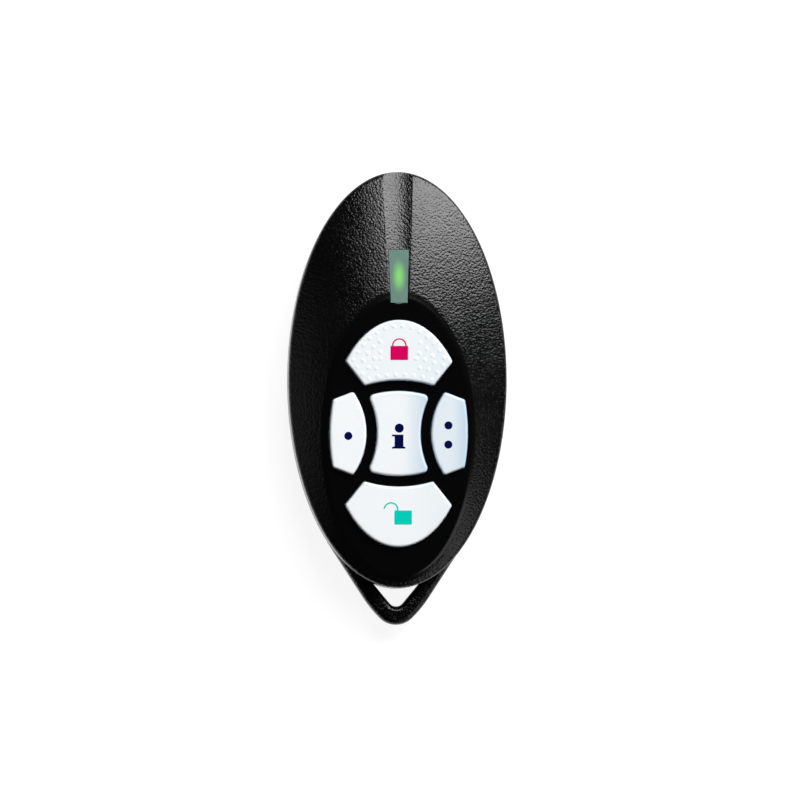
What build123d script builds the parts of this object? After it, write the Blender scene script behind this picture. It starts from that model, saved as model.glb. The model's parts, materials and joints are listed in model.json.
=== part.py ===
from build123d import *
from math import asin, cos, degrees, radians, sin, sqrt, tan
import os

os.makedirs("parts", exist_ok=True)

# Alarm key fob: a two-piece oval case with five keys, a status light and a key ring lug.
# The origin is the middle of the flat back, +X is right, +Y is towards the status light
# and +Z is out of the key face. Lengths are in millimetres and angles in degrees.

# Oval case
body_length = 70.0
body_width = 36.8
crown_radius = 36.0
rim_radius = 0.8
rear_edge_radius = 4.0
cover_wall = 1.8
floor_thickness = 1.5
seam_groove = 0.25
seam_rise = 0.2
lip_height = 1.2
lip_thickness = 1.0
lip_gap = 0.1

# Snap hook between the covers, at the key ring end
hook_width = 8.0
hook_height = 0.5
hook_depth = 0.35
hook_gap = 0.1

# Sloping field around the keys
field_width = 24.8
field_offset = 9.8
field_wall = 1.6
field_edge_radius = 1.5

# Groove that runs from the light end of the case to the keys
groove_radius = 9.0
groove_start_inset = 0.4
groove_end_inset = 2.3
groove_start_depth = 0.2
groove_end_depth = 0.45
groove_spans = 5
groove_overrun = 8.0

# Key ring lug, a V that meets the oval at a tangent, and its ring opening
ring_opening = 3.0
ring_bar = 3.1
ring_hole_flare = 7.0
ring_hole_radius = 1.4
lug_bow_angle = 13.0
lug_flank_radius = 20.0
lug_tip_radius = 3.8
lug_thickness = 3.4
lug_drop = 0.5
lug_edge_radius = 0.9

# Status light window, wider towards the light end
window_length = 9.0
window_key_gap = 2.9
window_outer_width = 3.4
window_inner_width = 2.8
window_rise = 0.05
window_flange_width = 0.7
window_flange_thickness = 0.8
window_flange_gap = 0.4
window_gap = 0.08
window_light_gap = 0.4

# Outlines of the five keys, which share one oval
cluster_length = 38.0
cluster_width = 23.2
cluster_offset = 9.2
key_web = 1.8
end_arc_radius = 19.0
end_arc_drop = 10.1
end_key_angle = 77.0
end_key_apex = 0.7
side_arc_radius = 12.0
side_arc_offset = 17.45
side_edge_height = 9.9
side_edge_angle = 20.9
key_corner_radius = 0.5
info_corner_radius = 0.8

# Key bodies and their travel
key_gap = 0.15
key_proud = 1.0
key_edge_radius = 0.4
key_travel = 0.35
flange_width = 0.6
flange_thickness = 0.8
flange_gap = 0.1
post_radius = 1.2
post_gap = 0.05
least_post_height = 0.3
end_switch_offset = 13.2
side_switch_offset = 8.3

# Raised dots on the lock key, in rings inside its outline
dot_diameter = 0.76
dot_height = 0.1
dot_pitch = 1.5
dot_first_inset = 0.95
dot_ring_step = 1.45
dot_clear_width = 5.6

# Coin cell and its contacts
cell_diameter = 20.0
cell_height = 3.2
cell_cap_diameter = 17.2
cell_cap_height = 0.35
cell_offset = 5.0
cell_edge_radius = 0.3
strap_gap = 0.2
strap_thickness = 0.3
strap_width = 6.0
strap_side_gap = 0.4
strap_foot = 1.6
contact_diameter = 7.0
contact_thickness = 0.2

# Circuit board and what holds it
board_thickness = 1.0
board_gap = 0.3
rest_width = 1.6
rest_length = 5.0
side_rest_offset = 8.0
end_rest_offset = 29.6

# Case screws, from the back into bosses of the front cover
screw_side = 8.5
screw_offset = 18.0
screw_radius = 1.0
screw_gap = 0.05
screw_bite = 3.2
screw_tip_gap = 0.4
screw_head_radius = 1.9
screw_head_height = 0.9
screw_head_recess = 0.3
screw_head_gap = 0.2
screw_slot_width = 0.5
screw_slot_depth = 0.4
boss_radius = 2.3
pillar_radius = 2.7

# Tactile switches
switch_width = 3.4
switch_floor = 0.2
switch_well_radius = 1.35
switch_plate = 0.15
switch_plate_tab = 0.9
switch_play = 0.05
dome_radius = 1.2
dome_thickness = 0.1
dome_rest_height = 0.1
plunger_flange_radius = 1.05
plunger_flange_thickness = 0.3
plunger_radius = 0.7
plunger_proud = 0.5

# Chips and other parts on the board
light_length = 1.6
light_width = 0.8
light_height = 0.6
light_lens_share = 0.6
control_chip_width = 5.0
control_chip_height = 0.9
control_chip_offset = 10.2
radio_chip_width = 3.5
radio_chip_height = 0.85
radio_chip_side = 3.2
radio_chip_offset = 24.6
crystal_length = 3.2
crystal_width = 2.5
crystal_height = 0.7
crystal_lid_inset = 0.3
chip_dimple_radius = 0.3
chip_dimple_depth = 0.1
passive_length = 1.6
passive_width = 0.8
passive_height = 0.5
passive_step = 0.1
antenna_width = 0.7
antenna_height = 0.4
antenna_inset = 0.5
antenna_start = 21.5

# Sizes that follow from the ones above
half_length = body_length / 2
half_width = body_width / 2
oval_ratio = half_length / half_width
cluster_half_length = cluster_length / 2
cluster_half_width = cluster_width / 2
window_inner_end = cluster_half_length - cluster_offset + window_key_gap
window_outer_end = window_inner_end + window_length
window_middle = (window_outer_end + window_inner_end) / 2
groove_start = window_inner_end + groove_start_inset
groove_end = half_length - groove_end_inset
groove_fall = (groove_end_depth - groove_start_depth) / (groove_end - groove_start)

# Levels of the stack, from the back cover to the switches
floor_top = floor_thickness
strap_bottom = floor_top + strap_gap
cell_bottom = strap_bottom + strap_thickness
cell_top = cell_bottom + cell_height
board_bottom = cell_top + contact_thickness
board_top = board_bottom + board_thickness
seam_height = board_bottom + seam_rise
dome_height = key_travel + dome_rest_height
dome_bottom = board_top + switch_floor
plunger_bottom = dome_bottom + dome_height
plate_bottom = plunger_bottom + plunger_flange_thickness + switch_play
plate_top = plate_bottom + switch_plate
plunger_top = plate_top + plunger_proud
post_bottom = plunger_top + post_gap

# The field is a flat cut through the domed crown, deepest towards the key ring
field_radius = field_width / 2
field_depth = sqrt(crown_radius**2 - field_radius**2)
field_turn = asin(field_offset / oval_ratio / field_depth)
field_slope = tan(field_turn) / oval_ratio

# The least post height, at the switch nearest to the key ring, sets the height of the field
last_switch_offset = cluster_offset + end_switch_offset
flange_bottom_height = post_bottom + least_post_height + field_slope * last_switch_offset
flange_top_height = flange_bottom_height + flange_thickness
ceiling_height = flange_top_height + flange_gap
field_height = ceiling_height + field_wall
key_top_height = field_height + key_proud
field_middle_height = field_height - field_slope * field_offset
crown_height = field_middle_height + crown_radius - field_depth * cos(field_turn)
crown_centre = crown_height - crown_radius
clear_above = crown_height + crown_radius


def sloping_plane(height):
    """Plane parallel to the field, at the given height over the origin."""
    return Plane(origin=(0, 0, height), z_dir=(0, -field_slope, 1))


def crown_level(y):
    """Height of the crown along the middle of the case."""
    return crown_centre + sqrt(crown_radius**2 - (y / oval_ratio)**2)


def crown_slope(y):
    """Slope of the crown along the middle of the case."""
    return -y / oval_ratio**2 / (crown_level(y) - crown_centre)


def groove_depth(y):
    """Depth of the groove below the crown, which grows evenly towards the light end."""
    return groove_start_depth + groove_fall * (y - groove_start)


def oval(inset):
    """Half width and half length of the case oval, drawn in by an inset."""
    return half_width - inset, half_length - inset


def cap_radius(base, height):
    """Ball radius of a shallow cap with a base radius and a height."""
    return (base**2 + height**2) / (2 * height)


def placed(places, height):
    """Places on the board's plane, lifted to a height."""
    return [(x, y, height) for x, y in places]


upright = (Align.CENTER, Align.CENTER, Align.MIN)
screw_places = [(-screw_side, screw_offset), (screw_side, screw_offset)]


def dome(inset):
    """Domed solid over the seam: a crown, a tight rim and an upright side, stretched to the oval."""
    radius = crown_radius - inset
    side = half_width - inset
    rim_level = crown_centre + sqrt((radius - rim_radius)**2 - (side - rim_radius)**2)
    rim_share = radius / (radius - rim_radius)
    crown_end = ((side - rim_radius) * rim_share, crown_centre + (rim_level - crown_centre) * rim_share)
    top = (0, crown_height - inset)
    with BuildPart() as solid:
        with BuildSketch(Plane.XZ):
            with BuildLine():
                RadiusArc(top, crown_end, radius)
                RadiusArc(crown_end, (side, rim_level), rim_radius)
                Polyline((side, rim_level), (side, seam_height), (0, seam_height), top)
            make_face()
        revolve(axis=Axis.Z)
        scale(by=(1, (half_length - inset) / side, 1))
    return solid.part


# Domed inside of the front cover, less the screw bosses
with BuildPart() as front_cavity:
    add(dome(cover_wall))
    split(bisect_by=sloping_plane(ceiling_height), keep=Keep.BOTTOM)
    with Locations(*placed(screw_places, board_top)):
        Cylinder(boss_radius, clear_above, align=upright, mode=Mode.SUBTRACT)

# Groove cutter: a round bar that follows the crown over the light end, with a ball at its start
groove_path_points = []
for step in range(groove_spans + 1):
    groove_place = groove_start + (groove_end - groove_start) * step / groove_spans
    groove_slope = crown_slope(groove_place)
    groove_lift = (groove_radius - groove_depth(groove_place)) / sqrt(1 + groove_slope**2)
    groove_level = crown_level(groove_place) + groove_lift
    groove_path_points.append((0, groove_place - groove_slope * groove_lift, groove_level))
with BuildPart() as groove_cutter:
    with BuildLine() as groove_path:
        groove_curve = Spline(*groove_path_points)
        Line(groove_curve @ 1, groove_curve @ 1 + (groove_curve % 1) * groove_overrun)
    with BuildSketch(Plane(origin=groove_curve @ 0, z_dir=groove_curve % 0)):
        Circle(groove_radius)
    sweep()
    with Locations(groove_curve @ 0):
        Sphere(groove_radius)


# Key outlines, drawn about the middle of the cluster and spread outwards by a margin
def end_outline(spread):
    """Outline of the lock key: a fan cut from the shared oval."""
    apex = end_key_apex - spread / sin(radians(end_key_angle / 2))
    side = cluster_length * tan(radians(end_key_angle / 2))
    with BuildSketch() as outline:
        Ellipse(cluster_half_width + spread, cluster_half_length + spread)
        with Locations((0, -end_arc_drop)):
            Circle(end_arc_radius - spread, mode=Mode.SUBTRACT)
        with BuildLine():
            Polyline((0, apex), (side, apex + cluster_length), (-side, apex + cluster_length), close=True)
        make_face(mode=Mode.INTERSECT)
        fillet(outline.vertices(), key_corner_radius + spread)
    return outline.sketch


def side_outline(spread):
    """Outline of the right key: a lens cut from the side of the shared oval."""
    middle = side_edge_height + spread / cos(radians(side_edge_angle))
    end = middle - cluster_width * tan(radians(side_edge_angle))
    with BuildSketch() as outline:
        Ellipse(cluster_half_width + spread, cluster_half_length + spread)
        with Locations((side_arc_offset, 0)):
            Circle(side_arc_radius + spread, mode=Mode.INTERSECT)
        with BuildLine():
            Polyline((0, middle), (cluster_width, end), (cluster_width, -end), (0, -middle), close=True)
        make_face(mode=Mode.INTERSECT)
        fillet(outline.vertices(), key_corner_radius + spread)
    return outline.sketch


def info_outline(spread):
    """Outline of the middle key: bowed ends and waisted sides."""
    with BuildSketch() as outline:
        with Locations((0, -end_arc_drop)):
            Circle(end_arc_radius - key_web + spread)
        with Locations((0, end_arc_drop)):
            Circle(end_arc_radius - key_web + spread, mode=Mode.INTERSECT)
        with Locations((-side_arc_offset, 0), (side_arc_offset, 0)):
            Circle(side_arc_radius + key_web - spread, mode=Mode.SUBTRACT)
        fillet(outline.vertices(), info_corner_radius + spread)
    return outline.sketch


# Outline and turn of each key, and the place of its switch
key_shapes = {
    "lock": (end_outline, 0),
    "info": (info_outline, 0),
    "left": (side_outline, 180),
    "right": (side_outline, 0),
    "unlock": (end_outline, 180),
}
switch_places = {
    "lock": (0, end_switch_offset - cluster_offset),
    "info": (0, -cluster_offset),
    "left": (-side_switch_offset, -cluster_offset),
    "right": (side_switch_offset, -cluster_offset),
    "unlock": (0, -end_switch_offset - cluster_offset),
}


def key_sketch(name, spread, level):
    """Sketch of a key's outline in its place, at a level."""
    shape, turn = key_shapes[name]
    with BuildSketch(Plane.XY.offset(level)) as sketch:
        with Locations(Location((0, -cluster_offset, 0), (0, 0, turn))):
            add(shape(spread))
    return sketch.sketch


def window_outline(spread):
    """Corners of the status window, spread outwards by a margin."""
    outer = window_outer_width / 2 + spread
    inner = window_inner_width / 2 + spread
    top = window_outer_end + spread
    bottom = window_inner_end - spread
    return [(-outer, top), (outer, top), (inner, bottom), (-inner, bottom)]


# Front cover: domed shell with the field, the groove, the window slot and the key apertures
hook_middle = seam_height + lip_height / 2
with BuildPart() as front_cover:
    add(dome(0))
    chamfer(front_cover.faces().sort_by(Axis.Z)[0].edges(), seam_groove)
    split(bisect_by=sloping_plane(field_height), keep=Keep.BOTTOM)
    field_face = front_cover.faces().filter_by(GeomType.PLANE).sort_by(Axis.Z)[-1]
    fillet(field_face.edges(), field_edge_radius)
    add(groove_cutter.part, mode=Mode.SUBTRACT)
    add(front_cavity.part, mode=Mode.SUBTRACT)
    for key_name in key_shapes:
        extrude(key_sketch(key_name, key_gap, board_top), amount=clear_above, mode=Mode.SUBTRACT)
    with BuildSketch(Plane.XY.offset(board_top)):
        with BuildLine():
            Polyline(*window_outline(window_gap), close=True)
        make_face()
    extrude(amount=clear_above, mode=Mode.SUBTRACT)
    with Locations(*placed(screw_places, board_top)):
        Cylinder(
            screw_radius + screw_gap,
            screw_bite + screw_tip_gap,
            align=upright,
            mode=Mode.SUBTRACT,
        )
    with BuildSketch(Plane.XY.offset(hook_middle - hook_height / 2 - hook_gap)):
        Ellipse(*oval(cover_wall + lip_gap - hook_depth - hook_gap))
        with Locations((0, -half_length)):
            Rectangle(hook_width + 2 * hook_gap, body_width / 2, mode=Mode.INTERSECT)
    extrude(amount=hook_height + 2 * hook_gap, mode=Mode.SUBTRACT)
front_cover.part.label = "front_cover"
export_step(front_cover.part, "parts/front_cover.step")

# The lug's right side is a tip arc, a flank arc and a straight run tangent to the oval.
# How far it leans out follows from the oval and from the reach of the tip.
tip_reach = half_length + ring_opening + ring_bar - lug_tip_radius
bow_turn = radians(lug_bow_angle)
arcs_reach = lug_tip_radius * cos(bow_turn) + lug_flank_radius * (1 - cos(bow_turn))
lean_square = tip_reach**2 - half_length**2 + half_width**2
lean_linear = tip_reach * arcs_reach
lean_rest = half_width**2 - arcs_reach**2
lug_lean = asin((sqrt(lean_linear**2 + lean_square * lean_rest) - lean_linear) / lean_square)


def outward(angle):
    """Outward direction of the right side of the lug where it leans by an angle."""
    return Vector(cos(angle), -sin(angle))


tip_middle = Vector(0, -tip_reach)
shoulder_lean = lug_lean + bow_turn
flank_middle = tip_middle + outward(shoulder_lean) * (lug_tip_radius - lug_flank_radius)
flank_start = flank_middle + outward(lug_lean) * lug_flank_radius
lug_oval_reach = sqrt((half_width * cos(lug_lean))**2 + (half_length * sin(lug_lean))**2)
lug_root = Vector(half_width**2 * cos(lug_lean), -half_length**2 * sin(lug_lean)) / lug_oval_reach
hole_lean = lug_lean + radians(ring_hole_flare)
hole_middle = Vector(0, ring_hole_radius - half_length - ring_opening)
hole_corner = hole_middle + outward(hole_lean) * ring_hole_radius
hole_rise = lug_root.Y - hole_corner.Y
hole_top = hole_corner + Vector(hole_rise * tan(hole_lean), hole_rise)

with BuildSketch() as ring_hole:
    with BuildLine():
        CenterArc(hole_middle, ring_hole_radius, -90, 90 - degrees(hole_lean))
        Polyline(hole_corner, hole_top, (0, hole_top.Y), hole_middle - Vector(0, ring_hole_radius))
    make_face()
    mirror(about=Plane.YZ)
    Ellipse(*oval(0), mode=Mode.SUBTRACT)

with BuildPart() as lug:
    with BuildSketch(Plane.XY.offset(seam_height - lug_drop - lug_thickness)):
        with BuildLine():
            CenterArc(tip_middle, lug_tip_radius, -90, 90 - degrees(shoulder_lean))
            CenterArc(flank_middle, lug_flank_radius, -degrees(shoulder_lean), lug_bow_angle)
            Polyline(flank_start, lug_root, (0, lug_root.Y), tip_middle - Vector(0, lug_tip_radius))
        make_face()
        mirror(about=Plane.YZ)
        add(ring_hole.sketch, mode=Mode.SUBTRACT)
    extrude(amount=lug_thickness)
    lug_edges = lug.edges().filter_by(Axis.Z, reverse=True).filter_by(GeomType.ELLIPSE, reverse=True)
    fillet(lug_edges.filter_by(lambda edge: edge.center().Y < lug_root.Y - lug_drop), lug_edge_radius)

# Room inside the rear cover, less the screw pillars and the rests of the board
tray_inset = cover_wall + lip_gap + lip_thickness
inner_half_width, inner_half_length = oval(tray_inset)
rest_side = inner_half_width - rest_width / 2
flat_half_width = half_width - rear_edge_radius
with BuildPart() as rear_cavity:
    with BuildSketch(Plane.XY.offset(floor_top)):
        Ellipse(inner_half_width, inner_half_length)
    extrude(amount=clear_above)
    with Locations(*placed(screw_places, floor_top)):
        Cylinder(pillar_radius, board_bottom - floor_top, align=upright, mode=Mode.SUBTRACT)
    with Locations((-rest_side, side_rest_offset, floor_top), (rest_side, side_rest_offset, floor_top)):
        Box(rest_width, rest_length, board_bottom - floor_top, align=upright, mode=Mode.SUBTRACT)
    with Locations((0, -end_rest_offset, floor_top), (0, end_rest_offset, floor_top)):
        Box(rest_length, rest_width, board_bottom - floor_top, align=upright, mode=Mode.SUBTRACT)

# Rear cover: oval tray with a flat back, a locating lip, a hook, the lug and two screw holes
with BuildPart() as rear_cover:
    with BuildSketch(Plane.XZ):
        with BuildLine():
            Polyline((0, seam_height), (0, -floor_thickness), (flat_half_width, -floor_thickness))
            Line((flat_half_width, -floor_thickness), (flat_half_width, 0))
            CenterArc((flat_half_width, rear_edge_radius), rear_edge_radius, -90, 90)
            Polyline((half_width, rear_edge_radius), (half_width, seam_height), (0, seam_height))
        make_face()
    revolve(axis=Axis.Z)
    scale(by=(1, oval_ratio, 1))
    split(bisect_by=Plane.XY, keep=Keep.TOP)
    chamfer(rear_cover.faces().sort_by(Axis.Z)[-1].edges(), seam_groove)
    add(lug.part)
    with BuildSketch(Plane.XY.offset(seam_height)):
        Ellipse(*oval(cover_wall + lip_gap))
    extrude(amount=lip_height)
    with BuildSketch(Plane.XY.offset(hook_middle - hook_height / 2)):
        Ellipse(*oval(cover_wall + lip_gap - hook_depth))
        with Locations((0, -half_length)):
            Rectangle(hook_width, body_width / 2, mode=Mode.INTERSECT)
    extrude(amount=hook_height)
    add(rear_cavity.part, mode=Mode.SUBTRACT)
    for screw_place in screw_places:
        with Locations(Plane(origin=screw_place, z_dir=(0, 0, -1))):
            CounterBoreHole(
                radius=screw_radius + screw_head_gap,
                counter_bore_radius=screw_head_radius + screw_head_gap,
                counter_bore_depth=screw_head_recess + screw_head_height,
            )
rear_cover.part.label = "rear_cover"
export_step(rear_cover.part, "parts/rear_cover.step")

# Status window: a light pipe that lies flat in the groove, with a flange under the cover
window_slope = crown_slope(window_middle) - groove_fall


def window_plane(depth):
    """Plane parallel to the window's face, at a depth below the crown over the window's middle."""
    level = crown_level(window_middle) - depth
    return Plane(origin=(0, window_middle, level), z_dir=(0, -window_slope, 1))


light_top = board_top + light_height
window_flange_depth = cover_wall + window_flange_gap
with BuildPart() as status_window:
    with BuildSketch(Plane.XY.offset(light_top + window_light_gap)):
        with BuildLine():
            Polyline(*window_outline(window_flange_width), close=True)
        make_face()
    extrude(amount=clear_above)
    split(bisect_by=window_plane(window_flange_depth), keep=Keep.BOTTOM)
    split(bisect_by=window_plane(window_flange_depth + window_flange_thickness), keep=Keep.TOP)
    with BuildSketch(Plane.XY.offset(light_top + window_light_gap)):
        with BuildLine():
            Polyline(*window_outline(0), close=True)
        make_face()
    extrude(amount=clear_above)
    split(bisect_by=window_plane(groove_depth(window_middle) - window_rise), keep=Keep.BOTTOM)
status_window.part.label = "status_window"
export_step(status_window.part, "parts/status_window.step")

# Raised dots of the lock key, spaced evenly along insets of its outline
dot_places = []
dot_outline = end_outline(0).face().outer_wire()
dot_room = (cluster_half_length + end_arc_drop - end_arc_radius) / 2 - dot_first_inset
dot_ball_radius = cap_radius(dot_diameter / 2, dot_height)
for ring in range(1 + int(dot_room / dot_ring_step)):
    ring_wire = dot_outline.offset_2d(-dot_first_inset - ring * dot_ring_step)
    dot_count = round(ring_wire.length / dot_pitch)
    for step in range(dot_count):
        dot = ring_wire.position_at(step / dot_count)
        if ring == 0 or abs(dot.X) > dot_clear_width / 2:
            dot_y = dot.Y - cluster_offset
            dot_level = key_top_height + field_slope * dot_y + dot_height - dot_ball_radius
            dot_places.append((dot.X, dot_y, dot_level))
key_dots = {"lock": dot_places}


# Room for the flanges, just inside the front cover
with BuildPart() as flange_room:
    add(dome(cover_wall + flange_gap))
    split(bisect_by=sloping_plane(flange_top_height), keep=Keep.BOTTOM)


def key_body(name):
    """Key cap with a flange that holds it under the cover and a post over its switch."""
    switch_x, switch_y = switch_places[name]
    with BuildPart() as key:
        extrude(key_sketch(name, flange_width, post_bottom), amount=clear_above)
        add(flange_room.part, mode=Mode.INTERSECT)
        extrude(key_sketch(name, 0, post_bottom), amount=clear_above)
        split(bisect_by=sloping_plane(key_top_height), keep=Keep.BOTTOM)
        split(bisect_by=sloping_plane(flange_bottom_height), keep=Keep.TOP)
        fillet(key.faces().sort_by(Axis.Z)[-1].edges(), key_edge_radius)
        post_height = flange_bottom_height + field_slope * switch_y - post_bottom + flange_thickness / 2
        with Locations((switch_x, switch_y, post_bottom)):
            Cylinder(post_radius, post_height, align=upright)
        if name in key_dots:
            with Locations(*key_dots[name]):
                Sphere(dot_ball_radius)
    return key.part


for key_name in key_shapes:
    key_part = key_body(key_name)
    key_part.label = f"{key_name}_key"
    export_step(key_part, f"parts/{key_name}_key.step")

# Tactile switches: moulded base, snap dome, plunger and folded cover plate
inner_radius = dome_radius - dome_thickness
inner_height = dome_height - dome_thickness
tab_offset = (switch_width + switch_plate) / 2
for key_name, (switch_x, switch_y) in switch_places.items():
    with BuildPart() as switch_base:
        with Locations((switch_x, switch_y, board_top)):
            Box(switch_width, switch_width, plate_bottom - board_top, align=upright)
        with Locations((switch_x, switch_y, dome_bottom)):
            Cylinder(switch_well_radius, plate_bottom, align=upright, mode=Mode.SUBTRACT)
    switch_base.part.label = f"{key_name}_switch_base"
    export_step(switch_base.part, f"parts/{key_name}_switch_base.step")

    with BuildPart() as switch_dome:
        with BuildSketch(Plane(origin=(switch_x, switch_y, dome_bottom), x_dir=(1, 0, 0), z_dir=(0, -1, 0))):
            with BuildLine():
                RadiusArc((0, dome_height), (dome_radius, 0), cap_radius(dome_radius, dome_height))
                RadiusArc((0, inner_height), (inner_radius, 0), cap_radius(inner_radius, inner_height))
                Line((dome_radius, 0), (inner_radius, 0))
                Line((0, inner_height), (0, dome_height))
            make_face()
        revolve(axis=Axis((switch_x, switch_y, 0), (0, 0, 1)))
    switch_dome.part.label = f"{key_name}_switch_dome"
    export_step(switch_dome.part, f"parts/{key_name}_switch_dome.step")

    with BuildPart() as switch_plunger:
        with Locations((switch_x, switch_y, plunger_bottom)):
            Cylinder(plunger_flange_radius, plunger_flange_thickness, align=upright)
            Cylinder(plunger_radius, plunger_top - plunger_bottom, align=upright)
    switch_plunger.part.label = f"{key_name}_switch_plunger"
    export_step(switch_plunger.part, f"parts/{key_name}_switch_plunger.step")

    with BuildPart() as switch_cover:
        with Locations((switch_x, switch_y, plate_bottom)):
            Box(switch_width, switch_width, switch_plate, align=upright)
            Cylinder(plunger_radius + switch_play, switch_plate, align=upright, mode=Mode.SUBTRACT)
        for side in (-1, 1):
            with Locations((switch_x + side * tab_offset, switch_y, plate_top - switch_plate_tab)):
                Box(switch_plate, switch_width / 2, switch_plate_tab, align=upright)
    switch_cover.part.label = f"{key_name}_switch_cover"
    export_step(switch_cover.part, f"parts/{key_name}_switch_cover.step")

# Circuit board, with clearance holes for the case screws
board_half_width, board_half_length = oval(tray_inset + board_gap)
with BuildPart() as circuit_board:
    with BuildSketch(Plane.XY.offset(board_bottom)):
        Ellipse(board_half_width, board_half_length)
        with Locations(*screw_places):
            Circle(screw_radius + screw_head_gap, mode=Mode.SUBTRACT)
    extrude(amount=board_thickness)
circuit_board.part.label = "circuit_board"
export_step(circuit_board.part, "parts/circuit_board.step")

# Coin cell: wide can below, narrower cap above
with BuildPart() as coin_cell:
    with Locations((0, -cell_offset, cell_bottom)):
        Cylinder(cell_diameter / 2, cell_height - cell_cap_height, align=upright)
        fillet(coin_cell.edges(), cell_edge_radius)
        Cylinder(cell_cap_diameter / 2, cell_height, align=upright)
coin_cell.part.label = "coin_cell"
export_step(coin_cell.part, "parts/coin_cell.step")

# Positive contact: a strap under the cell whose feet are soldered to the board
leg_offset = cell_diameter / 2 + strap_side_gap + strap_thickness / 2
foot_offset = leg_offset + (strap_foot - strap_thickness) / 2
with BuildPart() as positive_contact:
    with Locations((0, -cell_offset, strap_bottom)):
        Box(2 * leg_offset + strap_thickness, strap_width, strap_thickness, align=upright)
    for side in (-1, 1):
        with Locations((side * leg_offset, -cell_offset, strap_bottom)):
            Box(strap_thickness, strap_width, board_bottom - strap_bottom, align=upright)
        with Locations((side * foot_offset, -cell_offset, board_bottom - strap_thickness)):
            Box(strap_foot, strap_width, strap_thickness, align=upright)
positive_contact.part.label = "positive_contact"
export_step(positive_contact.part, "parts/positive_contact.step")

with BuildPart() as negative_contact:
    with Locations((0, -cell_offset, cell_top)):
        Cylinder(contact_diameter / 2, contact_thickness, align=upright)
negative_contact.part.label = "negative_contact"
export_step(negative_contact.part, "parts/negative_contact.step")

# Lights: one under the window and six around the keys
backlight_shares = [(0.30, -0.02), (0.30, -0.56), (0.55, -0.42)]


def light_group(places):
    """Chip lights on the board: a base and a narrower lens for each place."""
    with BuildPart() as lights:
        with Locations(*placed(places, board_top)):
            Box(light_length, light_width, light_height * light_lens_share, align=upright)
            Box(light_length * light_lens_share, light_width, light_height, align=upright)
    return lights.part


def mirrored(shares):
    """Places on both sides of the board, from shares of its half width and half length."""
    return [(side * x * board_half_width, y * board_half_length) for x, y in shares for side in (-1, 1)]


status_led = light_group([(0, window_middle)])
status_led.label = "status_led"
export_step(status_led, "parts/status_led.step")
backlight_leds = light_group(mirrored(backlight_shares))
backlight_leds.label = "backlight_leds"
export_step(backlight_leds, "parts/backlight_leds.step")


def chip(width, height, place):
    """Flat square chip with a dimple beside its first pad."""
    corner = width / 2 - 2 * chip_dimple_radius
    with BuildPart() as package:
        with Locations((*place, board_top)):
            Box(width, width, height, align=upright)
        with Locations((place[0] - corner, place[1] + corner, board_top + height - chip_dimple_depth)):
            Cylinder(chip_dimple_radius, chip_dimple_depth, align=upright, mode=Mode.SUBTRACT)
    return package.part


control_chip = chip(control_chip_width, control_chip_height, (0, control_chip_offset))
control_chip.label = "control_chip"
export_step(control_chip, "parts/control_chip.step")
radio_chip = chip(radio_chip_width, radio_chip_height, (-radio_chip_side, radio_chip_offset))
radio_chip.label = "radio_chip"
export_step(radio_chip, "parts/radio_chip.step")

crystal_lid_length = crystal_length - crystal_lid_inset
crystal_lid_width = crystal_width - crystal_lid_inset
with BuildPart() as crystal:
    with Locations((radio_chip_side, radio_chip_offset, board_top)):
        Box(crystal_length, crystal_width, crystal_height / 2, align=upright)
        Box(crystal_lid_length, crystal_lid_width, crystal_height, align=upright)
crystal.part.label = "crystal"
export_step(crystal.part, "parts/crystal.step")

# Antenna: a flat strip around the light end of the board
with BuildPart() as antenna:
    with BuildSketch(Plane.XY.offset(board_top)):
        Ellipse(board_half_width - antenna_inset, board_half_length - antenna_inset)
        Ellipse(
            board_half_width - antenna_inset - antenna_width,
            board_half_length - antenna_inset - antenna_width,
            mode=Mode.SUBTRACT,
        )
        with Locations((0, antenna_start)):
            Rectangle(body_width, body_length, align=(Align.CENTER, Align.MIN), mode=Mode.INTERSECT)
    extrude(amount=antenna_height)
antenna.part.label = "antenna"
export_step(antenna.part, "parts/antenna.step")

# Small passive parts, placed by shares of the board's half width and half length
capacitor_shares = [(0.33, 0.36), (0.62, 0.30), (0.55, -0.70), (0.16, 0.87)]
resistor_shares = [(0.33, 0.27), (0.62, 0.20), (0.33, -0.80)]


def passive_group(shares):
    """Chip capacitors or resistors: a body with a taller cap at each end."""
    cap_length = passive_length / 4
    cap_offset = (passive_length - cap_length) / 2
    body_width_inside = passive_width - passive_step
    body_height_inside = passive_height - passive_step
    with BuildPart() as passives:
        for x, y in mirrored(shares):
            with Locations((x, y, board_top)):
                Box(passive_length, body_width_inside, body_height_inside, align=upright)
            with Locations((x - cap_offset, y, board_top), (x + cap_offset, y, board_top)):
                Box(cap_length, passive_width, passive_height, align=upright)
    return passives.part


chip_capacitors = passive_group(capacitor_shares)
chip_capacitors.label = "chip_capacitors"
export_step(chip_capacitors, "parts/chip_capacitors.step")
chip_resistors = passive_group(resistor_shares)
chip_resistors.label = "chip_resistors"
export_step(chip_resistors, "parts/chip_resistors.step")

# Case screws: cross-slotted head in the back cover, tip in the boss of the front cover
head_top = screw_head_recess + screw_head_height
with BuildPart() as case_screws:
    with Locations(*placed(screw_places, screw_head_recess)):
        Cylinder(screw_head_radius, screw_head_height, align=upright)
        Box(2 * screw_radius, screw_slot_width, screw_slot_depth, align=upright, mode=Mode.SUBTRACT)
        Box(screw_slot_width, 2 * screw_radius, screw_slot_depth, align=upright, mode=Mode.SUBTRACT)
    with Locations(*placed(screw_places, head_top)):
        Cylinder(screw_radius, board_top + screw_bite - head_top, align=upright)
case_screws.part.label = "case_screws"
export_step(case_screws.part, "parts/case_screws.step")
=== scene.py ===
"""Finishes, printed icons and studio for an alarm key fob, laid out as an add-on."""

import json
from math import cos, pi, radians, sin, tan
from typing import NamedTuple

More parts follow.
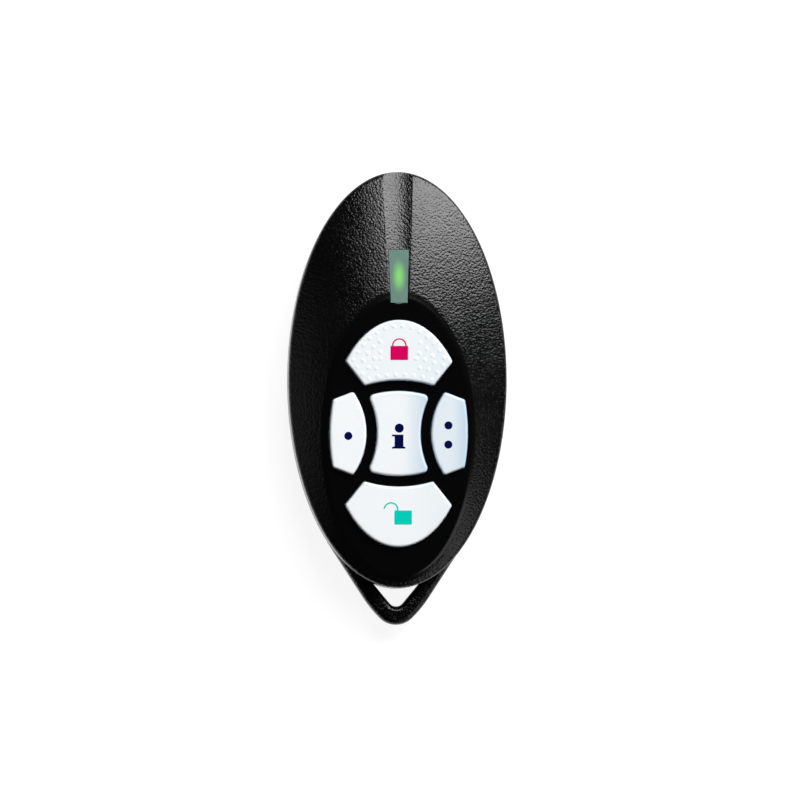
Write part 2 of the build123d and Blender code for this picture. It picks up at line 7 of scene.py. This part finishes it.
import bmesh
import bpy
from bpy.props import FloatProperty, FloatVectorProperty, PointerProperty
from bpy.types import Operator, Panel, PropertyGroup
from mathutils import Matrix, Vector

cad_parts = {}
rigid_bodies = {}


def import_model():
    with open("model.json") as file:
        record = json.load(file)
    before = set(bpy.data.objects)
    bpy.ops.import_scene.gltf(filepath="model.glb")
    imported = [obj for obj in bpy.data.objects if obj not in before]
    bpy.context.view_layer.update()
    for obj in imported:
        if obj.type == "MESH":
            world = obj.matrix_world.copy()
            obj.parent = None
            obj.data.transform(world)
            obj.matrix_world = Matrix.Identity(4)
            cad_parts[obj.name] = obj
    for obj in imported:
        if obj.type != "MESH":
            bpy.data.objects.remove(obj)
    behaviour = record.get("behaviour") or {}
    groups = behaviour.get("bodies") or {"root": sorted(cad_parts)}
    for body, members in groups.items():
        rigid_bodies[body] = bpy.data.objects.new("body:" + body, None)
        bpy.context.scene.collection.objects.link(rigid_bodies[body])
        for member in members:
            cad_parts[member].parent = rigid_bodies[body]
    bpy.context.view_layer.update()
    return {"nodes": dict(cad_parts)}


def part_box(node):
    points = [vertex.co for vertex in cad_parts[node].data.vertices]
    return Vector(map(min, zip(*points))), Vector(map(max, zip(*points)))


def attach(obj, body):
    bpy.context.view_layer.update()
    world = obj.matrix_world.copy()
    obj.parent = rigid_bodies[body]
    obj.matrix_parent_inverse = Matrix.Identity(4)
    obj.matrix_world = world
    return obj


bl_info = {
    "name": "Alarm key fob",
    "version": (1, 0, 0),
    "blender": (4, 5, 0),
    "location": "View3D > Sidebar > Key fob",
    "description": "Finishes, printed icons and studio for an alarm key fob",
    "category": "Object",
}

for leftover in list(bpy.data.objects):
    bpy.data.objects.remove(leftover)
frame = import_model()

MM = 0.001
KEY_NAMES = ("lock", "info", "left", "right", "unlock")
# Places on the flat field, above and below the keys
FIELD_POINTS = ((0, 10.3 * MM), (0, -29.5 * MM))
# Depth below the field at which the grain starts, and at which it is full
GRAIN_START = (0.1 * MM, 0.3 * MM)
# Soft patches in which the tone, the gloss and the grain of the case vary
CASE_PATCH_SIZE = 9 * MM
CASE_PATCH_TONE = 1.5
# How much of the grain is lost in the smoother patches, and where they begin and end
GRAIN_LOSS = 0.25
GRAIN_LOSS_EDGES = (0.2, 0.9)
# How rounded the pebbles are
PEBBLE_ROUNDNESS = 0.6
# Share of fine speckle in the grain, and its size as a share of the pebbles
SPECKLE_SHARE = 0.35
SPECKLE_SIZE_SHARE = 0.45
# Clouds in the window: their size, their share and their tone
CLOUD_SIZE = 1.5 * MM
CLOUD_SHARE = 0.3
CLOUD_TONE = 0.7
# Ripples of the window and of the keys: their size and depth
WINDOW_RIPPLES = (0.3 * MM, 0.01 * MM)
KEY_RIPPLES = (0.12 * MM, 0.003 * MM)
# Soft patches of the keys, and the painted shade down their rounded edges
KEY_PATCH_SIZE = 6 * MM
KEY_EDGE_SHADE_DEPTH = 0.4 * MM
KEY_EDGE_SHADE_SHARE = 0.5
# Heights over a key's top between which a raised dot takes its own colour
DOT_HEIGHTS = (0.002 * MM, 0.03 * MM)
# How far roughness and tone vary over a piece
PATCHINESS = 0.1
INK_ROUGHNESS = 0.2
# How much painted shade each key takes: all over, along its upper edge and towards its right side
PAINTED_SHADE_SHARES = {
    "lock": (0.12, 0.4, 0.12),
    "info": (0.04, 0.5, 0.6),
    "left": (0.0, 0.25, 0.05),
    "right": (0.3, 0.4, 0.45),
    "unlock": (0.02, 0.5, 0.15),
}


def surface_height(node, x, y):
    """Height of the upper surface of a CAD node over a place."""
    hit, place, _, _ = frame["nodes"][node].ray_cast(Vector((x, y, 1)), Vector((0, 0, -1)))
    if not hit:
        raise RuntimeError(f"{node} has no surface over {x}, {y}")
    return place.z


def field_plane():
    """Height over the origin and slope towards +Y of the flat field around the keys."""
    (upper_x, upper_y), (lower_x, lower_y) = FIELD_POINTS
    upper = surface_height("front_cover", upper_x, upper_y)
    lower = surface_height("front_cover", lower_x, lower_y)
    slope = (upper - lower) / (upper_y - lower_y)
    return upper - slope * upper_y, slope


def colour_property(name, description, default):
    return FloatVectorProperty(
        name=name, description=description, default=default, subtype="COLOR", size=3, min=0, max=1
    )


def length_property(name, description, default):
    return FloatProperty(
        name=name, description=description, default=default, unit="LENGTH", min=0, precision=5
    )


def angle_property(name, description, default):
    return FloatProperty(name=name, description=description, default=default, subtype="ANGLE")


def light_property(name, description, default):
    return FloatProperty(name=name, description=description, default=default, min=0)


def share_property(name, description, default):
    return FloatProperty(
        name=name, description=description, default=default, subtype="FACTOR", min=0, max=1
    )


class FobCase(PropertyGroup):
    """Covers of the case."""

    colour: colour_property("Case colour", "Colour of the moulded covers", (0.001, 0.001, 0.00105))
    grain_size: length_property("Grain size", "Spacing of the pebbles of the moulded grain", 0.36 * MM)
    grain_depth: length_property("Grain depth", "Height of the pebbles of the moulded grain", 0.1 * MM)
    roughness: share_property("Case roughness", "Roughness of the grained plastic", 0.19)
    field_roughness: share_property("Field roughness", "Roughness of the field and the rear cover", 0.16)


class FobWindow(PropertyGroup):
    """Status window and its light."""

    colour: colour_property("Window colour", "Colour of the translucent window", (0.065, 0.16, 0.125))
    glow: colour_property("Glow colour", "Colour of the lit spot", (0.13, 0.5, 0.08))
    glow_width: length_property("Glow width", "Half width of the lit spot", 1.4 * MM)
    glow_length: length_property("Glow length", "Half length of the lit spot", 3.4 * MM)
    glow_strength: share_property("Glow strength", "Strength of the spot's own light", 0.12)
    roughness: share_property("Window roughness", "Roughness of the window", 0.34)


class FobKeys(PropertyGroup):
    """Keys and their printed icons."""

    colour: colour_property("Key colour", "Colour of the keys", (0.96, 0.99, 1.0))
    # Key shade is the colour of the painted shade on the keys' edges and right side
    shade: colour_property("Key shade", "Cooler colour of the edges and the right side", (0.42, 0.6, 0.78))
    # The band is painted shade along the upper edges of the keys
    shade_band_width: length_property("Band width", "Width of the cooler band at the upper edges", 1.8 * MM)
    dot_colour: colour_property("Dot colour", "Colour of the raised dots", (0.95, 0.98, 1.0))
    dot_softness: share_property("Dot softness", "How far the raised dots are shaded as flat", 0.75)
    roughness: share_property("Key roughness", "Roughness of the keys", 0.38)
    ink_thickness: length_property("Ink thickness", "Thickness of the printed icons", 0.03 * MM)
    lock_ink: colour_property("Lock ink", "Colour of the closed padlock", (0.72, 0.0, 0.115))
    info_ink: colour_property("Dot ink", "Colour of the middle and side icons", (0.001, 0.003, 0.06))
    unlock_ink: colour_property("Unlock ink", "Colour of the open padlock", (0.0, 0.66, 0.52))


class FobStage(PropertyGroup):
    """Camera, lamps and floor."""

    lean_side: angle_property("Camera lean to the left", "Tilt of the camera towards -X", radians(3.2))
    lean_down: angle_property("Camera lean to the lug", "Tilt of the camera towards -Y", radians(2.6))
    distance: length_property("Camera distance", "Distance from the camera to the fob", 1.6)
    view_width: length_property("View width", "Width of the picture at the seam of the case", 134.63 * MM)
    key_light: light_property("Key light", "Brightness of the lamp at the upper right", 8.3)
    fill_light: light_property("Fill light", "Brightness of the lamp at the left", 0.3)
    low_light: light_property("Low light", "Brightness of the lamp at the lower right", 1.0)
    sky: share_property("Sky", "Strength of the even light from all round", 0.02)


class Socket:
    """A number in a shader. Arithmetic on it adds Math nodes."""

    def __init__(self, nodes, link):
        self.nodes = nodes
        self.link = link

    def __add__(self, other):
        return self.nodes.maths("ADD", self, other)

    def __sub__(self, other):
        return self.nodes.maths("SUBTRACT", self, other)

    def __rsub__(self, other):
        return self.nodes.maths("SUBTRACT", other, self)

    def __mul__(self, other):
        return self.nodes.maths("MULTIPLY", self, other)

    def __truediv__(self, other):
        return self.nodes.maths("DIVIDE", self, other)

    def __rtruediv__(self, other):
        return self.nodes.maths("DIVIDE", other, self)

    def __pow__(self, other):
        return self.nodes.maths("POWER", self, other)

    def __rpow__(self, other):
        return self.nodes.maths("POWER", other, self)

    __radd__ = __add__
    __rmul__ = __mul__


class Nodes:
    """A node tree that is filled in from the start."""

    def __init__(self, tree):
        self.tree = tree
        tree.nodes.clear()

    def add(self, kind, settings=None, values=None, outputs=(0,)):
        """Adds a node: its settings first, then the values or links of its sockets."""
        node = self.tree.nodes.new(kind)
        for name, value in (settings or {}).items():
            setattr(node, name, value)
        for name, value in (values or {}).items():
            if isinstance(value, Socket):
                self.tree.links.new(value.link, node.inputs[name])
            else:
                node.inputs[name].default_value = value
        sockets = [Socket(self, node.outputs[name]) for name in outputs]
        return sockets[0] if len(sockets) == 1 else sockets

    def maths(self, operation, first, second):
        """Sum, product or the like of two numbers."""
        return self.add("ShaderNodeMath", {"operation": operation}, {0: first, 1: second})

    def smooth_step(self, value, low, high):
        """0 below low and 1 above high, or the other way round where low is the larger."""
        settings = {"interpolation_type": "SMOOTHSTEP"}
        values = {"Value": value, "From Min": min(low, high), "From Max": max(low, high)}
        if low > high:
            values.update({"To Min": 1, "To Max": 0})
        return self.add("ShaderNodeMapRange", settings, values)

    def mix(self, share, first, second):
        """Blend of two colours."""
        values = {0: share, 6: self.colour(first), 7: self.colour(second)}
        return self.add("ShaderNodeMix", {"data_type": "RGBA"}, values, (2,))

    def colour(self, value):
        """A colour with its alpha, unless it is already a socket."""
        return value if isinstance(value, Socket) else (*value, 1)


class Finish(Nodes):
    """A procedural material around one Principled shader, laid out in the frame of the CAD."""

    def __init__(self, name):
        self.material = bpy.data.materials.new(name)
        self.material.use_nodes = True
        super().__init__(self.material.node_tree)
        self.place = self.add("ShaderNodeTexCoord", outputs=("Object",))
        self.x, self.y, self.z = self.add("ShaderNodeSeparateXYZ", None, {0: self.place}, (0, 1, 2))

    def noise(self, size, detail=2):
        """Soft noise from 0 to 1 with spots of a size."""
        values = {"Vector": self.place, "Scale": 1 / size, "Detail": detail}
        return self.add("ShaderNodeTexNoise", None, values)

    def pebbles(self, size):
        """Rounded pebbles of a size: 1 at the top of each and 0 between them."""
        values = {"Vector": self.place, "Scale": 1 / size, "Smoothness": PEBBLE_ROUNDNESS}
        return 1 - self.add("ShaderNodeTexVoronoi", {"feature": "SMOOTH_F1"}, values)

    def normal(self):
        """Normal of the surface itself."""
        return self.add("ShaderNodeNewGeometry", outputs=("Normal",))

    def blend(self, share, first, second):
        """Blend of two vectors."""
        return self.add("ShaderNodeMix", {"data_type": "VECTOR"}, {0: share, 4: first, 5: second}, (1,))

    def bump(self, height, depth, normal=None):
        """Normal of a surface whose height varies by up to a depth."""
        values = {"Distance": depth, "Height": height}
        if normal:
            values["Normal"] = normal
        return self.add("ShaderNodeBump", None, values)

    def ripples(self, size, depth, normal=None):
        """Normal of a surface with soft ripples of a size and depth."""
        return self.bump(self.noise(size), depth, normal)

    def done(self, colour, roughness, normal, others):
        """Feeds the shader, the sockets named in others too, and returns the material."""
        values = {"Base Color": self.colour(colour), "Roughness": roughness, "Normal": normal, **others}
        surface = self.add("ShaderNodeBsdfPrincipled", None, values)
        self.add("ShaderNodeOutputMaterial", None, {"Surface": surface}, ())
        return self.material


def dress(node, material):
    """Gives a CAD node its finish."""
    for slot in frame["nodes"][node].material_slots:
        slot.material = material


def scaled(colour, factor):
    """A colour made lighter or darker."""
    return tuple(factor * part for part in colour)


def grained_plastic(name, case, roughness, field=None):
    """Black plastic with a pebbled grain, smooth on the field around the keys where one is given."""
    finish = Finish(name)
    pebbles = finish.pebbles(case.grain_size)
    speckle = finish.noise(case.grain_size * SPECKLE_SIZE_SHARE, detail=3)
    patches = finish.noise(CASE_PATCH_SIZE)
    grain = finish.smooth_step(patches, *GRAIN_LOSS_EDGES) * GRAIN_LOSS + (1 - GRAIN_LOSS)
    gloss = (patches - 0.5) * PATCHINESS + roughness
    if field:
        level, slope = field
        outside = finish.smooth_step(level + slope * finish.y - finish.z, *GRAIN_START)
        grain = grain * outside
        gloss = gloss * outside + (1 - outside) * case.field_roughness
    height = (pebbles * (1 - SPECKLE_SHARE) + speckle * SPECKLE_SHARE) * grain
    normal = finish.bump(height, case.grain_depth)
    tone = finish.mix(patches, case.colour, scaled(case.colour, CASE_PATCH_TONE))
    return finish.done(tone, gloss, normal, {"Specular IOR Level": 0.5})


class Spots(NamedTuple):
    """Fine spots of a finish, with the share and the tone of their darker colour."""

    size: float
    detail: int
    share: float
    tone: float
    dulling: float
    depth: float


INK_MOTTLE = Spots(size=0.25 * MM, detail=3, share=0.3, tone=0.8, dulling=0.06, depth=0.001 * MM)
METAL_SCRATCHES = Spots(size=0.15 * MM, detail=4, share=1, tone=0.8, dulling=0.12, depth=0.002 * MM)
MOULDED_GRAIN = Spots(size=0.1 * MM, detail=3, share=0.4, tone=0.7, dulling=0.1, depth=0.003 * MM)


def spotted(name, colour, roughness, spots, others):
    """Ink, metal or a moulded piece, slightly uneven all over."""
    finish = Finish(name)
    noise = finish.noise(spots.size, spots.detail)
    tone = finish.mix(noise * spots.share, colour, scaled(colour, spots.tone))
    gloss = noise * spots.dulling + roughness
    return finish.done(tone, gloss, finish.bump(noise, spots.depth), others)


class FOB_OT_case(Operator):
    """Finish both covers in pebbled black plastic"""

    bl_idname = "fob.case"
    bl_label = "Finish the case"

    def execute(self, context):
        case = context.scene.fob_case
        front = grained_plastic("case_front_plastic", case, case.roughness, field_plane())
        rear = grained_plastic("case_rear_plastic", case, case.field_roughness)
        dress("front_cover", front)
        dress("rear_cover", rear)
        return {"FINISHED"}


class FOB_OT_window(Operator):
    """Finish the status window, with the soft spot of light behind it"""

    bl_idname = "fob.window"
    bl_label = "Finish the status window"

    def execute(self, context):
        window = context.scene.fob_window
        low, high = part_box("status_window")
        middle = (low + high) / 2
        finish = Finish("window_plastic")
        across = (finish.x - middle.x) / window.glow_width
        along = (finish.y - middle.y) / window.glow_length
        spread = (across * across + along * along) ** 0.5
        glow = finish.smooth_step(spread, 1, 0)
        clouds = finish.noise(CLOUD_SIZE) * CLOUD_SHARE
        tone = finish.mix(clouds, window.colour, scaled(window.colour, CLOUD_TONE))
        lit = finish.mix(glow, tone, window.glow)
        others = {
            "Emission Color": finish.mix(glow, (0, 0, 0), window.glow),
            "Emission Strength": window.glow_strength,
            "Specular IOR Level": 0.4,
        }
        plastic = finish.done(lit, window.roughness, finish.ripples(*WINDOW_RIPPLES), others)
        dress("status_window", plastic)
        return {"FINISHED"}


class FOB_OT_keys(Operator):
    """Finish the five keys in satin white plastic, with painted shade at their edges and on the right"""

    bl_idname = "fob.keys"
    bl_label = "Finish the keys"

    def execute(self, context):
        keys = context.scene.fob_keys
        slope = field_plane()[1]
        low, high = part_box("info_key")
        x, y = (low.x + high.x) / 2, (low.y + high.y) / 2
        top = surface_height("info_key", x, y) - slope * y
        for name in KEY_NAMES:
            dress(f"{name}_key", self.plastic(name, keys, top, slope))
        return {"FINISHED"}

    def plastic(self, name, keys, top, slope):
        """Finish of one key, whose top is a plane of a height over the origin and a slope."""
        low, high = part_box(f"{name}_key")
        finish = Finish(f"{name}_key_plastic")
        # Shares of painted shade for this key: all over, along its upper edge and towards its right side
        even, upper, right = PAINTED_SHADE_SHARES[name]
        over_top = finish.z - top - slope * finish.y
        # Painted shade down the key's rounded edges, from its top to a depth below it
        edge_shade = finish.smooth_step(over_top, 0, -KEY_EDGE_SHADE_DEPTH) * KEY_EDGE_SHADE_SHARE
        # Painted shade in a band along the key's upper edge
        upper_edge_shade = finish.smooth_step(high.y - finish.y, keys.shade_band_width, 0) * upper
        # Painted shade growing towards the right side of the key
        right_side_shade = finish.smooth_step(finish.x, (low.x + high.x) / 2, high.x) * right
        patches = (finish.noise(KEY_PATCH_SIZE) - 0.5) * PATCHINESS
        # Painted shade from the edges, the upper band, the right side and all over, plus random soft
        # patches of tone
        painted_shade_and_patches = edge_shade + upper_edge_shade + right_side_shade + patches + even
        # Painted shade: the key colour blended towards the shade colour
        tone = finish.mix(painted_shade_and_patches, keys.colour, keys.shade)
        dots = finish.smooth_step(over_top, *DOT_HEIGHTS)
        tone = finish.mix(dots, tone, keys.dot_colour)
        flat = finish.blend(dots * keys.dot_softness, finish.normal(), (0, -slope, 1))
        normal = finish.ripples(*KEY_RIPPLES, normal=flat)
        return finish.done(tone, patches + keys.roughness, normal, {"Specular IOR Level": 0.4})


# Steps along an arc of an icon's outline, and round each of its corners
ARC_STEPS = 24
CORNER_STEPS = 4


def arc(middle, radius, start, end, steps=ARC_STEPS):
    """Points along an arc, angles in degrees."""
    turns = [radians(start + (end - start) * step / steps) for step in range(steps + 1)]
    return [(middle[0] + radius * cos(turn), middle[1] + radius * sin(turn)) for turn in turns]


def disc(x, y, radius):
    """Points round a circle, of which the first isn't repeated."""
    return arc((x, y), radius, 0, 360)[:-1]


def block(left, bottom, right, top, corner=0.12):
    """Rectangle with slightly rounded corners."""
    corners = (
        (right - corner, top - corner, 0),
        (left + corner, top - corner, 90),
        (left + corner, bottom + corner, 180),
        (right - corner, bottom + corner, 270),
    )
    return [
        point
        for x, y, start in corners
        for point in arc((x, y), corner, start, start + 90, CORNER_STEPS)
    ]


def shackle(x, bottom, top, radius, stroke, left_bottom=None):
    """Arch of a padlock: legs from their bottoms up to a half circle."""
    middle = (x, top - radius)
    if left_bottom is None:
        left_bottom = bottom
    outer = arc(middle, radius, 0, 180)
    inner = arc(middle, radius - stroke, 180, 0)
    return [
        (x + radius, bottom),
        *outer,
        (x - radius, left_bottom),
        (x - radius + stroke, left_bottom),
        *inner,
        (x + radius - stroke, bottom),
    ]


def letter_i():
    """Stem of a generic information sign, with a serif at its top left and a foot."""
    return [
        (-1.18, -9.40), (0.76, -9.40), (0.76, -11.40), (1.08, -11.46), (1.08, -11.74),
        (-1.12, -11.74), (-1.12, -11.46), (-0.72, -11.40), (-0.72, -9.72), (-1.18, -9.66),
    ]


# Ink of each key's printed icon, and its outlines in millimetres in the frame of the CAD
ICONS = {
    "lock": ("lock_ink", [block(-1.49, 3.07, 1.49, 5.43), shackle(0, 5.40, 6.71, 1.23, 0.24)]),
    "info": ("info_ink", [disc(0.06, -8.31, 0.76), letter_i()]),
    "left": ("info_ink", [disc(-8.49, -9.64, 0.68)]),
    "right": ("info_ink", [disc(8.31, -7.84, 0.68), disc(8.31, -11.05, 0.68)]),
    "unlock": (
        "unlock_ink",
        [block(-0.69, -24.45, 2.24, -22.09), shackle(-1.27, -22.12, -20.69, 1.25, 0.25, -21.79)],
    ),
}


def printed(name, key_node, outlines, thickness):
    """Thin plates of ink that lie on a key, one for each outline."""
    mesh = bpy.data.meshes.new(name)
    plates = bmesh.new()
    for outline in outlines:
        lower, upper = [], []
        for x_mm, y_mm in outline:
            x, y = x_mm * MM, y_mm * MM
            height = surface_height(key_node, x, y)
            lower.append(plates.verts.new((x, y, height - thickness / 2)))
            upper.append(plates.verts.new((x, y, height + thickness / 2)))
        plates.faces.new(upper)
        plates.faces.new(reversed(lower))
        for first in range(len(outline)):
            second = (first + 1) % len(outline)
            plates.faces.new((lower[first], lower[second], upper[second], upper[first]))
    bmesh.ops.recalc_face_normals(plates, faces=plates.faces)
    plates.to_mesh(mesh)
    plates.free()
    piece = bpy.data.objects.new(name, mesh)
    bpy.context.scene.collection.objects.link(piece)
    return piece


class FOB_OT_icons(Operator):
    """Print the generic icons on the keys"""

    bl_idname = "fob.icons"
    bl_label = "Print the icons"

    def execute(self, context):
        keys = context.scene.fob_keys
        inks = {
            name: spotted(name, getattr(keys, name), INK_ROUGHNESS, INK_MOTTLE, {"Specular IOR Level": 0.3})
            for name in ("lock_ink", "info_ink", "unlock_ink")
        }
        for key_name, (ink_name, outlines) in ICONS.items():
            icon = printed(f"{key_name}_icon", f"{key_name}_key", outlines, keys.ink_thickness)
            icon.data.materials.append(inks[ink_name])
            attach(icon, f"{key_name}_button")
        return {"FINISHED"}


# Finishes of the inside: colour, roughness and the nodes that take each
METALS = {
    "contact_steel": ((0.55, 0.55, 0.56), 0.28, [
        "positive_contact", "negative_contact", "crystal", "{key}_switch_dome", "{key}_switch_cover",
    ]),
    "screw_steel": ((0.4, 0.4, 0.42), 0.35, ["case_screws"]),
    "cell_steel": ((0.62, 0.62, 0.6), 0.22, ["coin_cell"]),
    "antenna_copper": ((0.72, 0.36, 0.18), 0.32, ["antenna"]),
}
MOULDED = {
    "chip_plastic": ((0.015, 0.015, 0.017), 0.5, ["control_chip", "radio_chip", "chip_resistors"]),
    "switch_plastic": ((0.02, 0.02, 0.02), 0.45, ["{key}_switch_base"]),
    "plunger_plastic": ((0.62, 0.56, 0.42), 0.4, ["{key}_switch_plunger"]),
    "capacitor_ceramic": ((0.32, 0.2, 0.1), 0.45, ["chip_capacitors"]),
    "light_resin": ((0.85, 0.8, 0.45), 0.2, ["status_led", "backlight_leds"]),
    "board_resist": ((0.008, 0.1, 0.035), 0.3, ["circuit_board"]),
}


class FOB_OT_inside(Operator):
    """Finish the board, the cell, the switches and the other pieces inside"""

    bl_idname = "fob.inside"
    bl_label = "Finish the inside"

    def execute(self, context):
        metal = (METALS, METAL_SCRATCHES, {"Metallic": 1.0})
        moulded = (MOULDED, MOULDED_GRAIN, {})
        for finishes, spots, others in (metal, moulded):
            for name, (colour, roughness, nodes) in finishes.items():
                material = spotted(name, colour, roughness, spots, others)
                for node in self.listed(nodes):
                    dress(node, material)
        return {"FINISHED"}

    def listed(self, nodes):
        """Names of nodes, with each name of a switch's piece repeated for the five keys."""
        return sorted({node.format(key=key) for node in nodes for key in KEY_NAMES})


# Lamps: place in metres from the fob, width and height, and the setting of their brightness
LAMPS = {
    "key_lamp": ((0.42, 0.65, 0.66), (1.2, 0.62), "key_light"),
    "fill_lamp": ((-0.85, -0.05, 0.5), (0.5, 0.5), "fill_light"),
    "low_lamp": ((0.55, -0.5, 0.66), (0.6, 0.6), "low_light"),
}
# Middle of the picture, in the frame of the CAD
CAMERA_TARGET = (0.5055 * MM, -2.923 * MM, 5.6 * MM)
SENSOR_WIDTH_MM = 36
CAMERA_CLIPS = (0.01, 10)
# Floor: half its side, its drop below the fob, its own grey and the white it shows to the camera
FLOOR_REACH = 4.0
FLOOR_DROP = 0.02 * MM
FLOOR_GREY = (0.2, 0.2, 0.2, 1)
FLOOR_GLOW = 0.9


class FOB_OT_stage(Operator):
    """Set up the white floor, the lamps and the camera"""

    bl_idname = "fob.stage"
    bl_label = "Set up the studio"

    def execute(self, context):
        stage = context.scene.fob_stage
        self.floor()
        self.sky(context.scene, stage.sky)
        for name, (place, size, setting) in LAMPS.items():
            self.lamp(name, place, size, getattr(stage, setting))
        self.camera(context.scene, stage)
        context.scene.view_settings.view_transform = "Standard"
        return {"FINISHED"}

    def floor(self):
        """White floor that keeps the shadow of the fob."""
        mesh = bpy.data.meshes.new("floor")
        signs = ((-1, -1), (1, -1), (1, 1), (-1, 1))
        corners = [(x * FLOOR_REACH, y * FLOOR_REACH, -FLOOR_DROP) for x, y in signs]
        mesh.from_pydata(corners, [], [(0, 1, 2, 3)])
        floor = bpy.data.objects.new("floor", mesh)
        bpy.context.scene.collection.objects.link(floor)
        material = bpy.data.materials.new("floor_white")
        material.use_nodes = True
        nodes = Nodes(material.node_tree)
        grey = nodes.add("ShaderNodeBsdfDiffuse", None, {"Color": FLOOR_GREY})
        white = nodes.add("ShaderNodeEmission", None, {"Strength": self.seen(nodes) * FLOOR_GLOW})
        both = nodes.add("ShaderNodeAddShader", None, {0: grey, 1: white})
        nodes.add("ShaderNodeOutputMaterial", None, {"Surface": both}, ())
        floor.data.materials.append(material)

    def seen(self, nodes):
        """1 for the rays of the camera and of what mirrors or lets through."""
        kinds = ("Is Camera Ray", "Is Glossy Ray", "Is Transmission Ray")
        camera, glossy, through = nodes.add("ShaderNodeLightPath", outputs=kinds)
        return nodes.maths("MAXIMUM", nodes.maths("MAXIMUM", camera, glossy), through)

    def sky(self, scene, strength):
        """Even light from all round."""
        world = bpy.data.worlds.new("studio")
        scene.world = world
        world.use_nodes = True
        nodes = Nodes(world.node_tree)
        light = nodes.add("ShaderNodeBackground", None, {"Strength": strength})
        nodes.add("ShaderNodeOutputWorld", None, {"Surface": light}, ())

    def lamp(self, name, place, size, brightness):
        """Large soft lamp aimed at the fob, of a power that fits its size."""
        data = bpy.data.lights.new(name, "AREA")
        data.shape = "RECTANGLE"
        data.size, data.size_y = size
        data.energy = brightness * pi * data.size * data.size_y
        self.aim(bpy.data.objects.new(name, data), Vector(), Vector(place))

    def camera(self, scene, stage):
        """Camera almost overhead, as the photograph was taken."""
        data = bpy.data.cameras.new("camera")
        data.sensor_width = SENSOR_WIDTH_MM
        data.lens = data.sensor_width * stage.distance / stage.view_width
        data.clip_start, data.clip_end = CAMERA_CLIPS
        back = Vector((-tan(stage.lean_side), -tan(stage.lean_down), 1)).normalized()
        camera = bpy.data.objects.new("camera", data)
        self.aim(camera, Vector(CAMERA_TARGET), back * stage.distance)
        scene.camera = camera

    def aim(self, piece, target, offset):
        """Places a lamp or camera at an offset from its target, level with the X axis."""
        back = offset.normalized()
        right = Vector((0, 1, 0)).cross(back).normalized()
        piece.location = target + offset
        piece.rotation_euler = Matrix((right, back.cross(right), back)).transposed().to_euler()
        bpy.context.scene.collection.objects.link(piece)


class FOB_PT_panel(Panel):
    """Sizes, colours and steps of the key fob"""

    bl_idname = "FOB_PT_panel"
    bl_label = "Key fob"
    bl_space_type = "VIEW_3D"
    bl_region_type = "UI"
    bl_category = "Key fob"

    def draw(self, context):
        for group, operators in STEPS:
            box = self.layout.box()
            settings = getattr(context.scene, group)
            for name in settings.__annotations__:
                box.prop(settings, name)
            for operator in operators:
                box.operator(operator.bl_idname)


STEPS = (
    ("fob_case", (FOB_OT_case, FOB_OT_inside)),
    ("fob_window", (FOB_OT_window,)),
    ("fob_keys", (FOB_OT_keys, FOB_OT_icons)),
    ("fob_stage", (FOB_OT_stage,)),
)
GROUPS = {"fob_case": FobCase, "fob_window": FobWindow, "fob_keys": FobKeys, "fob_stage": FobStage}


def register():
    for name, group in GROUPS.items():
        bpy.utils.register_class(group)
        setattr(bpy.types.Scene, name, PointerProperty(type=group))
    for _, operators in STEPS:
        for operator in operators:
            bpy.utils.register_class(operator)
    bpy.utils.register_class(FOB_PT_panel)


def unregister():
    bpy.utils.unregister_class(FOB_PT_panel)
    for _, operators in reversed(STEPS):
        for operator in reversed(operators):
            bpy.utils.unregister_class(operator)
    for name, group in reversed(GROUPS.items()):
        delattr(bpy.types.Scene, name)
        bpy.utils.unregister_class(group)


def main():
    register()
    bpy.ops.fob.case()
    bpy.ops.fob.inside()
    bpy.ops.fob.window()
    bpy.ops.fob.keys()
    bpy.ops.fob.icons()
    bpy.ops.fob.stage()


if __name__ == "__main__":
    main()
